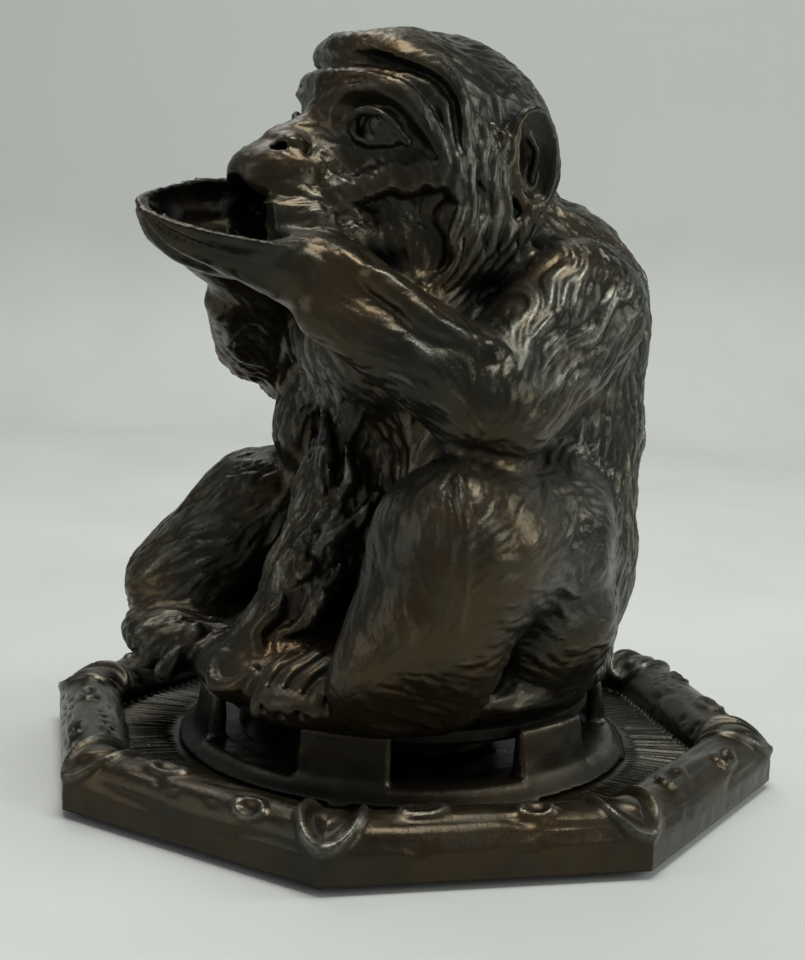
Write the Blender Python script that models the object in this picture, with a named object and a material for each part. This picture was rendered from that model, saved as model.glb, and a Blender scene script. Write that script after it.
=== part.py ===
"""Seated-monkey incense burner: a hollow cast figure that lifts off a draught collar in a log-edged tray.

The tray carries the collar, a loose ash cup stands inside the collar, and the two figure shells are
soldered together over a locating ring.  Smoke rises through the body and leaves by the open mouth,
over the cupped hands.  +Z is up, the monkey faces -Y, and the origin is the centre of the underside.
"""
import math

import bmesh
import bpy
from mathutils import Matrix, Vector

MM = 0.001
GAP = 0.3                 # clearance between neighbouring pieces

# --- felt and tray -----------------------------------------------------------------------------
FELT_R, FELT_T = 52.0, 1.5
LIFT = FELT_T             # everything below is measured from the tray's underside
TRAY_CORNER_R = 70.0      # centre to outer corner of the octagon
TRAY_APOTHEM = TRAY_CORNER_R * math.cos(math.pi / 8)
LOG_R = 6.0               # radius of the log rim
LOG_Z = 3.6               # height of the log centre line
FLOOR_Z = 2.8
KNOT_R, KNOT_H = 4.6, 1.3

# --- draught collar ----------------------------------------------------------------------------
COLLAR_TOP_R, COLLAR_BORE_R, COLLAR_TOP_Z = 38.5, 36.0, 14.3
COLLAR_FOOT_R, COLLAR_FLANGE_R, COLLAR_SILL_Z = 43.3, 31.0, 5.5
GAP_COUNT, GAP_ANGLE, GAP_PHASE = 6, 35.0, -80.5
COLLAR_SCREWS, COLLAR_SCREW_R = 3, 33.6

# --- ash cup -----------------------------------------------------------------------------------
CUP_R, CUP_H, CUP_WALL = 20.0, 9.0, 1.0

# --- figure ------------------------------------------------------------------------------------
FIG_Z = COLLAR_TOP_Z + GAP            # underside of the figure
RING_R, RING_BORE_R, RING_Z = 35.3, 25.0, 11.6
BORE_R = 25.6                         # smoke opening through the figure's underside
FLOOR_IN_Z = 19.0                     # inside of the figure's floor
WALL = 2.8                            # casting wall
HEAD_YAW = -5.5                       # degrees, the head looks a little to its own right
SHELLS = ("figure_lower_front", "figure_upper_front", "figure_rear")
PART_Y = -21.0                        # parting plane of the shells at the legs
PART_Z = 63.0                         # crease between knees and elbows, where the front castings meet
PART_BACK_Y = 14.0                    # parting plane at the shoulders and head
WRIST_Y = -31.0                       # where the cupped hands are joined on
HAND_TILT = 17.0                      # degrees, the right hand is held higher
RING_SCREWS = ((15.0, -26.4), (-15.0, -26.4), (24.0, 18.5), (-24.0, 18.5))
SCREW_HEAD_R, SCREW_SHANK_R = 2.4, 1.2

# masses of the figure, mm from the tray's underside: balls are (centre, radii), limbs are (a, b, ra, rb)
TORSO_BALLS = (((0, 21, 84), (31, 24, 23)), ((0, 16, 62), (33, 29, 38)), ((0, 10, 40), (37, 32, 34)))
THIGHS = (((28, 4, 46), (36, -15, 47), 17, 14.5), ((-28, 2, 45), (-36, -12, 45), 16, 13.5))
SHINS = (((36, -15, 47), (35, -24, 25), 14.5, 13.5), ((-36, -12, 45), (-38, -27, 26), 13.5, 13.5))
UPPER_ARM = ((28, 14, 86), (35, -8, 71), 12, 10.5)
FOREARM = ((34, -9, 71), (11, -28, 91), 10.5, 8)
HAND_STUB = ((12, -27.5, 90.6), (7, -36, 94), 7.2, 6)
BELLY = (((0, -2, 70), (0, -15, 30), 12, 12), ((0, -15, 30), (0, -32, 19), 12, 9))
FEET = (((17, -34, 18.5), (9, 10, 4.5)), ((-17, -35, 18.5), (9, 10, 4.5)), ((-26, -37, 20), (12, 10, 6)))
SKIRT = ((0, -1, 19), (38, 41, 9))
NECK = ((0, 6, 105), (0, 14, 92), 15, 18)
SKULL = ((0, 1, 113), (20.5, 24.5, 21.5))
BROW = ((0, -11, 121), (17.5, 10, 10.5))
CHEEKS = ((0, -9, 108), (15, 12, 12))
MUZZLE = ((0, -27, 109), (9.5, 9.5, 6.5))
SNOUT = ((0, -12, 109.5), (0, -21, 110.5), 11, 8.5)
NOSE = ((0, -18, 119), (0, -25, 116), 3.6, 3.8)
CHIN = ((0, -19, 95), (10, 12, 6))
CHEST = ((0, -8, 82), (23, 14, 17))
WHISKER = ((16.5, -1, 110), (17.5, -2, 95), 7.5, 6.5)
EAR = ((21.5, 7, 111.5), (2.6, 5.8, 9.5))
EYE = ((8.6, -17.0, 117.8), (3.4, 3.0, 2.4))
BOWL = ((0, -38, 99), (14, 20.5, 8))
BOWL_HOLLOW = ((0, 0, 4.0), (11.4, 18, 8.5))


def p(x, y, z):
    """A point given in mm above the tray's underside, as a world position in metres."""
    return Vector((x, y, z + LIFT)) * MM


def clear_scene():
    for item in list(bpy.data.objects):
        bpy.data.objects.remove(item, do_unlink=True)
    for mesh in list(bpy.data.meshes):
        bpy.data.meshes.remove(mesh)


def make_material(name, colour, metallic, roughness):
    mat = bpy.data.materials.new(name)
    mat.use_nodes = True
    shader = mat.node_tree.nodes["Principled BSDF"]
    shader.inputs["Base Color"].default_value = (*colour, 1.0)
    shader.inputs["Metallic"].default_value = metallic
    shader.inputs["Roughness"].default_value = roughness
    mat.diffuse_color = (*colour, 1.0)
    return mat


def add_object(name, bm, mat=None):
    bmesh.ops.recalc_face_normals(bm, faces=bm.faces[:])
    mesh = bpy.data.meshes.new(name)
    bm.to_mesh(mesh)
    bm.free()
    obj = bpy.data.objects.new(name, mesh)
    bpy.context.scene.collection.objects.link(obj)
    if mat is not None:
        mesh.materials.append(mat)
    return obj


def lathe(name, profile, segments, mat=None, phase=0.0, centre=(0.0, 0.0), corner=1.0):
    """Turn a closed (radius, z) outline about a vertical axis; corner scales radii out to the corners."""
    bm = bmesh.new()
    rings = []
    for radius, z in profile:
        if radius < 1e-6:
            rings.append([bm.verts.new(p(centre[0], centre[1], z))])
            continue
        ring = []
        for k in range(segments):
            a = math.radians(phase) + 2 * math.pi * k / segments
            ring.append(bm.verts.new(p(centre[0] + radius * corner * math.cos(a),
                                       centre[1] + radius * corner * math.sin(a), z)))
        rings.append(ring)
    for lower, upper in zip(rings, rings[1:] + rings[:1]):
        if len(lower) == 1 and len(upper) == 1:
            continue
        for k in range(segments):
            n = (k + 1) % segments
            quad = [lower[k % len(lower)], lower[n % len(lower)],
                    upper[n % len(upper)], upper[k % len(upper)]]
            bm.faces.new(list(dict.fromkeys(quad)))
    return add_object(name, bm, mat)


def apply_modifiers(obj):
    """Replace the object's mesh by its evaluated result and drop the modifiers."""
    graph = bpy.context.evaluated_depsgraph_get()
    mesh = bpy.data.meshes.new_from_object(obj.evaluated_get(graph), depsgraph=graph)
    old = obj.data
    obj.modifiers.clear()
    obj.data = mesh
    bpy.data.meshes.remove(old)
    return obj


def boolean(obj, other, operation):
    mod = obj.modifiers.new(operation.lower(), "BOOLEAN")
    mod.operation, mod.solver, mod.object = operation, "EXACT", other
    apply_modifiers(obj)
    bpy.data.objects.remove(other, do_unlink=True)
    return obj


def add_ball(bm, centre, radii, turn=None, segments=20):
    """An ellipsoid at a centre in mm, optionally turned by a matrix about its own centre."""
    turn = (turn or Matrix.Identity(3)).to_4x4()
    place = Matrix.Translation(p(*centre)) @ turn @ Matrix.Diagonal((*[r * MM for r in radii], 1.0))
    bmesh.ops.create_uvsphere(bm, u_segments=segments, v_segments=segments // 2, radius=1.0, matrix=place)


def add_limb(bm, a, b, ra, rb):
    """A rounded limb: the convex hull of a ball at each end."""
    unit = bmesh.new()
    bmesh.ops.create_icosphere(unit, subdivisions=2, radius=1.0)
    hull = bmesh.new()
    for centre, radius in ((a, ra), (b, rb)):
        for vert in unit.verts:
            hull.verts.new(p(*centre) + vert.co * radius * MM)
    unit.free()
    made = bmesh.ops.convex_hull(hull, input=hull.verts[:], use_existing_faces=False)
    loose = {v for v in made["geom_interior"] + made["geom_unused"] if isinstance(v, bmesh.types.BMVert)}
    bmesh.ops.delete(hull, geom=list(loose), context="VERTS")
    mesh = bpy.data.meshes.new("limb")
    hull.to_mesh(mesh)
    hull.free()
    bm.from_mesh(mesh)
    bpy.data.meshes.remove(mesh)


def mirrored(triple, side):
    return (triple[0] * side, triple[1], triple[2])


def fuse(name, bm, voxel, smooth, ratio):
    """Melt overlapping masses into one skin, soften the creases and thin the mesh."""
    obj = add_object(name, bm)
    remesh = obj.modifiers.new("fuse", "REMESH")
    remesh.mode, remesh.voxel_size = "VOXEL", voxel * MM
    soften = obj.modifiers.new("soften", "SMOOTH")
    soften.factor, soften.iterations = 0.5, smooth
    thin = obj.modifiers.new("thin", "DECIMATE")
    thin.ratio = ratio
    return apply_modifiers(obj)


def turn_head(bm, verts):
    bmesh.ops.rotate(bm, verts=verts, cent=(0, 0, 0), matrix=Matrix.Rotation(math.radians(HEAD_YAW), 3, "Z"))


def figure_skin():
    """Outside of body, limbs and head as one closed skin."""
    bm = bmesh.new()
    for centre, radii in (SKULL, BROW, CHEEKS, MUZZLE, CHIN):
        add_ball(bm, centre, radii)
    for limb in (SNOUT, NOSE, NECK):
        add_limb(bm, *limb)
    for side in (1, -1):
        add_limb(bm, mirrored(WHISKER[0], side), mirrored(WHISKER[1], side), *WHISKER[2:])
        add_ball(bm, mirrored(EAR[0], side), EAR[1])
        add_ball(bm, mirrored(EYE[0], side), EYE[1])
    turn_head(bm, bm.verts[:])
    for centre, radii in TORSO_BALLS + FEET + (SKIRT, CHEST):
        add_ball(bm, centre, radii)
    for limb in THIGHS + SHINS + BELLY:
        add_limb(bm, *limb)
    for side in (1, -1):
        for limb in (UPPER_ARM, FOREARM):
            add_limb(bm, mirrored(limb[0], side), mirrored(limb[1], side), *limb[2:])
    return fuse("figure_skin", bm, 2.0, 2, 0.14)


def figure_cavity():
    """The hollow inside the casting: body, thighs, neck, head and the way out through the mouth."""
    bm = bmesh.new()
    for centre, radii in TORSO_BALLS[:2] + (SKULL,):
        add_ball(bm, centre, [r - WALL for r in radii], segments=16)
    add_ball(bm, (0, 8, 40), (33, 28, 27), segments=16)
    for limb in (NECK, ((0, 4, 108), (0, -20, 106), 13, 8.0)):
        add_limb(bm, limb[0], limb[1], limb[2] - WALL, limb[3] - WALL)
    for limb in THIGHS + SHINS:
        add_limb(bm, limb[0], limb[1], limb[2] - 1.3 * WALL, limb[3] - 1.3 * WALL)
    obj = fuse("figure_cavity", bm, 3.4, 2, 0.35)
    floor_cut = lathe("floor_cut", ((0, FLOOR_IN_Z), (80, FLOOR_IN_Z), (80, 160), (0, 160)), 32)
    boolean(obj, floor_cut, "INTERSECT")
    outline = ((0, FIG_Z - 5), (BORE_R, FIG_Z - 5), (BORE_R, FLOOR_IN_Z + 6), (0, FLOOR_IN_Z + 6))
    bore = lathe("smoke_bore", outline, 48)
    boolean(obj, bore, "UNION")
    mouth = bmesh.new()
    add_ball(mouth, (0, -32, 102.6), (8.2, 12, 4.4))
    add_limb(mouth, (0, -30, 103), (0, -14, 105), 4.2, 5.2)
    turn_head(mouth, mouth.verts[:])
    return boolean(obj, fuse("mouth_cut", mouth, 0.9, 1, 0.3), "UNION")


def underside_flare():
    """Keeps the figure's lower edge to a rounded foot that opens out above the collar."""
    outline = ((0, FIG_Z), (38.8, FIG_Z), (43, 17.6), (48, 22), (53, 28), (58, 38), (70, 60), (90, 100), (90, 150),
               (0, 150))
    return lathe("underside_flare", outline, 64, centre=(-4.0, -4.5))


def slab(name, outline, x0, x1):
    """A prism of a (y, z) outline between two x planes."""
    bm = bmesh.new()
    ends = [[bm.verts.new(p(x, y, z)) for y, z in outline] for x in (x0, x1)]
    for end in ends:
        bm.faces.new(end)
    count = len(outline)
    for k in range(count):
        n = (k + 1) % count
        bm.faces.new((ends[0][k], ends[0][n], ends[1][n], ends[1][k]))
    return add_object(name, bm)


def parting(shell):
    """The region of space that belongs to one shell, kept half a gap away from the parting surfaces."""
    g = GAP / 2
    if shell == "lower":
        outline = ((PART_Y - g, 0), (PART_Y - g, PART_Z - g), (-120, PART_Z - g), (-120, 0))
        return slab("lower_side", outline, -90, 90)
    s = g if shell == "rear" else -g
    step = ((8.0 + s, PART_Z + 2.5 - s), (PART_BACK_Y + s, 78.0), (PART_BACK_Y + s, 160))
    if shell == "upper":
        return slab("upper_side", ((-120, PART_Z + g), (PART_Y, PART_Z + g)) + step + ((-120, 160),), -90, 90)
    outline = ((PART_Y + g, 0), (PART_Y + g, PART_Z - g)) + step + ((120, 160), (120, 0))
    return slab("rear_side", outline, -90, 90)


def screw_holes(obj, places, radius, z0, z1):
    for x, y in places:
        hole = lathe("screw_hole", ((0, z0), (radius, z0), (radius, z1), (0, z1)), 16, centre=(x, y))
        boolean(obj, hole, "DIFFERENCE")
    return obj


def largest_body(obj):
    """Drop crumbs left by a cut, keeping the largest connected piece."""
    bm = bmesh.new()
    bm.from_mesh(obj.data)
    left, groups = set(bm.verts), []
    while left:
        stack, group = [left.pop()], []
        while stack:
            v = stack.pop()
            group.append(v)
            for e in v.link_edges:
                w = e.other_vert(v)
                if w in left:
                    left.discard(w)
                    stack.append(w)
        groups.append(group)
    groups.sort(key=len)
    for group in groups[:-1]:
        bmesh.ops.delete(bm, geom=group, context="VERTS")
    bm.to_mesh(obj.data)
    bm.free()
    return obj


def build_figure(materials):
    """Lower front, upper front and rear castings, cut from one hollow skin."""
    skin = figure_skin()
    boolean(skin, underside_flare(), "INTERSECT")
    boolean(skin, figure_cavity(), "DIFFERENCE")
    y = WRIST_Y + GAP / 2
    wrist_room = slab("wrist_room", ((y, 80), (y, 101.6), (-80, 101.6), (-80, 80)), -40, 40)
    boolean(skin, wrist_room, "DIFFERENCE")
    for name, region, mat in zip(SHELLS, ("lower", "upper", "rear"), materials):
        shell = skin.copy()
        shell.data = skin.data.copy()
        shell.name = shell.data.name = name
        bpy.context.scene.collection.objects.link(shell)
        boolean(shell, parting(region), "INTERSECT")
        if region != "upper":
            screws = [s for s in RING_SCREWS if (s[1] > 0) == (region == "rear")]
            screw_holes(shell, screws, SCREW_SHANK_R + GAP, FIG_Z - 2, FIG_Z + 3.2)
        largest_body(shell)
        shell.data.materials.clear()
        shell.data.materials.append(mat)
    bpy.data.objects.remove(skin, do_unlink=True)


def build_hands(mat):
    """Two hands cupped together: a tilted shell of a bowl on two wrist stubs."""
    tilt = Matrix.Rotation(math.radians(HAND_TILT), 3, "Y")
    bm = bmesh.new()
    add_ball(bm, BOWL[0], BOWL[1], tilt, 28)
    for side in (1, -1):
        add_limb(bm, mirrored(HAND_STUB[0], side), mirrored(HAND_STUB[1], side), *HAND_STUB[2:])
    obj = fuse("cupped_hands", bm, 1.2, 3, 0.16)
    top = bmesh.new()
    bmesh.ops.create_cube(top, size=1.0, matrix=Matrix.Translation(p(*BOWL[0])) @ tilt.to_4x4()
                          @ Matrix.Translation((0, 0, (2.2 + 20) * MM))
                          @ Matrix.Diagonal((80 * MM, 80 * MM, 40 * MM, 1)))
    boolean(obj, add_object("rim_cut", top), "DIFFERENCE")
    hollow = bmesh.new()
    local = tilt @ Vector(BOWL_HOLLOW[0])
    add_ball(hollow, [c + d for c, d in zip(BOWL[0], local)], BOWL_HOLLOW[1], tilt, 24)
    boolean(obj, add_object("bowl_cut", hollow), "DIFFERENCE")
    lips = bmesh.new()
    add_ball(lips, MUZZLE[0], [r + 0.7 for r in MUZZLE[1]])
    turn_head(lips, lips.verts[:])
    boolean(obj, add_object("lip_room", lips), "DIFFERENCE")
    y = WRIST_Y - GAP / 2
    boolean(obj, slab("wrist_cut", ((y, 70), (y, 130), (-90, 130), (-90, 70)), -40, 40), "INTERSECT")
    largest_body(obj)
    obj.data.materials.append(mat)
    return obj


def build_tray(mat):
    outline = [(0, 0), (TRAY_APOTHEM, 0), (TRAY_APOTHEM, LOG_Z)]
    centre = TRAY_APOTHEM - LOG_R
    for k in range(1, 9):
        a = math.radians(22.5 * k)
        outline.append((centre + LOG_R * math.cos(a), LOG_Z + LOG_R * math.sin(a)))
    outline += [(centre - LOG_R - 0.3, FLOOR_Z), (0, FLOOR_Z)]
    tray = lathe("tray", outline, 8, mat, phase=-90.0, corner=1 / math.cos(math.pi / 8))
    knots = bmesh.new()
    for k in range(8):
        a = math.radians(-90 + 45 * k)
        lean = Matrix.Rotation(a, 3, "Z") @ Matrix.Rotation(math.radians(28), 3, "Y")
        r = centre / math.cos(math.pi / 8) + 2.0
        top = LOG_Z + LOG_R - 1.2
        add_ball(knots, (r * math.cos(a), r * math.sin(a), top), (KNOT_R, KNOT_R * 0.8, KNOT_H), lean, 12)
        a += math.radians(22.5)
        lean = Matrix.Rotation(a, 3, "Z") @ Matrix.Rotation(math.radians(35), 3, "Y")
        r = centre + 3.2
        add_ball(knots, (r * math.cos(a), r * math.sin(a), LOG_Z + LOG_R - 1.3), (2.6, 4.2, 1.0), lean, 12)
    boolean(tray, add_object("knots", knots), "UNION")
    for k in range(COLLAR_SCREWS):
        x, y = screw_place(k)
        head, shank = SCREW_HEAD_R + GAP, SCREW_SHANK_R + GAP
        outline = ((0, -1), (head, -1), (head, 1.5), (shank, 1.5), (shank, 4), (0, 4))
        hole = lathe("tray_hole", outline, 20, centre=(x, y))
        boolean(tray, hole, "DIFFERENCE")
    return tray


def screw_place(k):
    """Collar screws stand under every other merlon."""
    a = math.radians(GAP_PHASE + 30 + 120 * k)
    return COLLAR_SCREW_R * math.cos(a), COLLAR_SCREW_R * math.sin(a)


def build_collar(mat):
    z0 = FLOOR_Z + GAP
    outline = ((COLLAR_FLANGE_R, z0), (COLLAR_FOOT_R, z0), (COLLAR_FOOT_R, z0 + 0.4), (41.2, z0 + 1.1), (39.9, 6.0),
               (COLLAR_TOP_R + 0.4, 10.0), (COLLAR_TOP_R, COLLAR_TOP_Z), (COLLAR_BORE_R, COLLAR_TOP_Z),
               (COLLAR_BORE_R, COLLAR_SILL_Z), (COLLAR_FLANGE_R, COLLAR_SILL_Z))
    collar = lathe("draught_collar", outline, 48, mat)
    for k in range(GAP_COUNT):
        a = math.radians(GAP_PHASE + 60 * k)
        half = math.radians(GAP_ANGLE / 2)
        bm = bmesh.new()
        corners = [(r * math.cos(a + t), r * math.sin(a + t)) for r, t in
                   ((33.5, -half), (50, -half), (50, half), (33.5, half))]
        low = [bm.verts.new(p(x, y, COLLAR_SILL_Z + 0.01)) for x, y in corners]
        high = [bm.verts.new(p(x, y, COLLAR_TOP_Z + 5)) for x, y in corners]
        bm.faces.new(low)
        bm.faces.new(high)
        for i in range(4):
            bm.faces.new((low[i], low[(i + 1) % 4], high[(i + 1) % 4], high[i]))
        boolean(collar, add_object("draught_gap", bm), "DIFFERENCE")
    places = [screw_place(k) for k in range(COLLAR_SCREWS)]
    return screw_holes(collar, places, SCREW_SHANK_R + GAP, z0 - 1, z0 + 1.9)


def build_cup(mat):
    z0 = FLOOR_Z + GAP
    top = z0 + CUP_H
    outline = ((0, z0), (CUP_R - 3.0, z0), (CUP_R - 1.2, z0 + 1.2), (CUP_R, top - 1.2),
               (CUP_R + 1.4, top - 0.6), (CUP_R + 1.4, top), (CUP_R - 0.4, top), (CUP_R - CUP_WALL - 0.2, top - 0.8),
               (CUP_R - CUP_WALL - 1.2, z0 + 2.0), (CUP_R - 3.6, z0 + CUP_WALL), (0, z0 + CUP_WALL))
    return lathe("ash_cup", outline, 32, mat)


def build_ring(mat):
    top = FIG_Z - GAP
    outline = ((RING_BORE_R, RING_Z), (RING_R - 0.8, RING_Z), (RING_R, RING_Z + 0.8), (RING_R, top),
               (RING_BORE_R, top))
    ring = lathe("locating_ring", outline, 48, mat)
    head, shank = SCREW_HEAD_R + GAP, SCREW_SHANK_R + GAP
    for x, y in RING_SCREWS:
        outline = ((0, RING_Z - 1), (head, RING_Z - 1), (head, RING_Z + 1.5), (shank, RING_Z + 1.5),
                   (shank, top + 1), (0, top + 1))
        hole = lathe("ring_hole", outline, 20, centre=(x, y))
        boolean(ring, hole, "DIFFERENCE")
    return ring


def build_screw(name, x, y, z_head, head_h, z_tip, mat):
    """A slotted cheese-head screw standing upright, head down."""
    outline = ((0, z_head), (SCREW_HEAD_R - 0.3, z_head), (SCREW_HEAD_R, z_head + 0.3),
               (SCREW_HEAD_R, z_head + head_h), (SCREW_SHANK_R, z_head + head_h), (SCREW_SHANK_R, z_tip - 0.4),
               (SCREW_SHANK_R - 0.4, z_tip), (0, z_tip))
    screw = lathe(name, outline, 20, mat, centre=(x, y))
    slot = bmesh.new()
    bmesh.ops.create_cube(slot, size=1.0, matrix=Matrix.Translation(p(x, y, z_head))
                          @ Matrix.Diagonal((8 * MM, 0.6 * MM, 1.0 * MM, 1)))
    return boolean(screw, add_object("slot_cut", slot), "DIFFERENCE")


def build_felt(mat):
    return lathe("base_felt", ((0, -FELT_T), (FELT_R, -FELT_T), (FELT_R, -GAP), (0, -GAP)), 48, mat)


def main():
    clear_scene()
    bronze = (0.062, 0.052, 0.040)
    build_felt(make_material("felt", (0.02, 0.055, 0.03), 0.0, 0.95))
    build_tray(make_material("tray_bronze", bronze, 0.9, 0.42))
    build_collar(make_material("collar_bronze", bronze, 0.9, 0.48))
    build_cup(make_material("cup_brass", (0.45, 0.33, 0.14), 1.0, 0.38))
    ring_mat = make_material("ring_bronze", bronze, 0.9, 0.5)
    build_ring(ring_mat)
    build_figure([make_material(f"{name}_bronze", bronze, 0.9, 0.37) for name in SHELLS])
    build_hands(make_material("hands_bronze", bronze, 0.9, 0.36))
    for k in range(COLLAR_SCREWS):
        x, y = screw_place(k)
        steel = make_material(f"collar_screw_steel_{k + 1}", (0.30, 0.29, 0.27), 1.0, 0.4)
        build_screw(f"collar_screw_{k + 1}", x, y, 0.0, 1.2, FLOOR_Z + GAP + 1.7, steel)
    for k, (x, y) in enumerate(RING_SCREWS):
        steel = make_material(f"ring_screw_steel_{k + 1}", (0.30, 0.29, 0.27), 1.0, 0.4)
        build_screw(f"ring_screw_{k + 1}", x, y, RING_Z + 0.2, 1.1, FIG_Z + 3.0, steel)


main()
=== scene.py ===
"""Looks of the seated-monkey incense burner: sculpted figure, log-edged tray, collar, patina and light."""
import math

import bpy
import numpy as np
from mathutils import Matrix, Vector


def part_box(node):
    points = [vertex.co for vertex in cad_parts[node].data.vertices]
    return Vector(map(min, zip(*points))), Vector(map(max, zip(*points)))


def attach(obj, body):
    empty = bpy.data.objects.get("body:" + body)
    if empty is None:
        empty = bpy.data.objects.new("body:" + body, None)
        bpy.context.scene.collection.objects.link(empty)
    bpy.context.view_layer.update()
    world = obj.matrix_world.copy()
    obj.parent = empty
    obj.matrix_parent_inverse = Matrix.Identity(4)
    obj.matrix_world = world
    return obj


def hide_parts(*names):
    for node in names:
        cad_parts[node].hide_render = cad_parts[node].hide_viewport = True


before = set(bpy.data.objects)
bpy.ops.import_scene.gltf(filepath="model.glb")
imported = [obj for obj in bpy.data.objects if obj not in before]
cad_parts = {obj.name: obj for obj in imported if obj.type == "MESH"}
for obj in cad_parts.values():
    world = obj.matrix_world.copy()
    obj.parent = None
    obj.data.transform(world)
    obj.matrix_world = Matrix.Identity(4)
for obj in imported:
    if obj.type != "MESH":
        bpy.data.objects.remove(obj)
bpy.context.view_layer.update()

import openvdb
from mathutils import Matrix, Vector

VOXEL = 0.55          # sculpting grid, mm
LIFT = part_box("tray")[0][2] * 1000.0    # the tray's underside above the table, mm
F = np.float32
HEAD_YAW = math.radians(-5.5)
HAND_TILT = math.radians(17.0)
BOWL_AT = (0.0, -38.0, 99.0)
FOOT_Z = 14.6           # underside of the figure, mm above the tray's underside
SEAM_Z = 63.5           # parting of the lower and upper front castings
BORE = 25.6             # radius of the hole in the figure's floor
APOTHEM = 64.67         # tray: centre to the middle of a side
LOG_RADIUS = 6.0
LOG_CENTRE = 58.67      # tray: centre to the axis of a log
LOG_BASE = 3.6          # height of that axis
FLOOR_Z = 2.8
HALF_LOG = 24.3         # half the length of a log's axis
GAP_TURN = 80.5         # collar: where the first gap stands, degrees
GAP_HALF = 17.5         # and half its width
DEG = 57.3              # degrees in a radian
VIEW_TURN = math.radians(54.5)
RIGHT = Vector((math.cos(VIEW_TURN), math.sin(VIEW_TURN), 0))
OUT = Vector((math.sin(VIEW_TURN), -math.cos(VIEW_TURN), 0))


def vec(v):
    return np.asarray(v, F)


def ball(c, r):
    """An ellipsoid: its distance function, centre and reach."""
    c, r = vec(c), vec(r)
    def f(p):
        q = p - c
        k0 = np.sqrt(np.einsum('ij,ij->i', q / r, q / r))
        k1 = np.sqrt(np.einsum('ij,ij->i', q / (r * r), q / (r * r)))
        return k0 * (k0 - 1) / np.maximum(k1, 1e-4)
    return f, c, float(r.max())


def path(points, radii):
    """A rod of changing thickness through the points: distance function, centre and reach."""
    pts = [vec(p) for p in points]
    rr = [float(r) for r in (radii if hasattr(radii, '__len__') else [radii] * len(pts))]
    def f(p):
        best = None
        for a, b, ra, rb in zip(pts, pts[1:], rr, rr[1:]):
            ab = b - a
            t = np.clip(((p - a) @ ab) / max(float(ab @ ab), 1e-6), 0, 1)
            q = p - a - t[:, None] * ab
            d = np.sqrt(np.einsum('ij,ij->i', q, q)) - (ra + (rb - ra) * t)
            best = d if best is None else np.minimum(best, d)
        return best
    lo = np.min(pts, 0)
    hi = np.max(pts, 0)
    return f, (lo + hi) / 2, float(np.linalg.norm(hi - lo)) / 2 + max(rr)


def curve(points, n=4):
    """Catmull-Rom points through the given ones."""
    P = [np.asarray(p, float) for p in points]
    P = [2 * P[0] - P[1]] + P + [2 * P[-1] - P[-2]]
    out = []
    for i in range(1, len(P) - 2):
        a, b, c, d = P[i - 1:i + 3]
        for k in range(n):
            t = k / n
            out.append(0.5 * (2 * b + (c - a) * t + (2 * a - 5 * b + 4 * c - d) * t * t
                + (3 * b - a - 3 * c + d) * t ** 3))
    out.append(P[-2])
    return out


def flip(points):
    return [(-p[0], p[1], p[2]) for p in points]


class Clay:
    """A list of shapes added, cut and kept, blended into one distance field."""
    def __init__(self):
        self.steps = []
    def put(self, prim, k=3.0):
        self.steps.append(('+', k, *prim))
    def cut(self, prim, k=1.0):
        self.steps.append(('-', k, *prim))
    def keep(self, prim, k=1.0):
        self.steps.append(('&', k, prim[0], None, 1e9))
    def both(self, how, kind, pts, r, k):
        """The same step on the left and, mirrored, on the right."""
        for side in (1, -1):
            if kind == 'ball':
                prim = ball((pts[0] * side, pts[1], pts[2]), r)
            else:
                prim = path(pts if side > 0 else flip(pts), r)
            (self.put if how == '+' else self.cut)(prim, k)
    def field(self, p, centre=None, half=None):
        d = np.full(len(p), 12.0, F)
        for op, k, f, c, reach in self.steps:
            if centre is not None and c is not None:
                if float(np.linalg.norm(centre - c)) > reach + half + k + 1.5:
                    continue
            v = f(p)
            if op == '+':
                h = np.clip(0.5 + 0.5 * (v - d) / k, 0, 1)
                d = v + (d - v) * h - k * h * (1 - h)
            else:
                if op == '-':
                    v = -v
                h = np.clip(0.5 - 0.5 * (v - d) / k, 0, 1)
                d = v + (d - v) * h + k * h * (1 - h)
        return d


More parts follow.
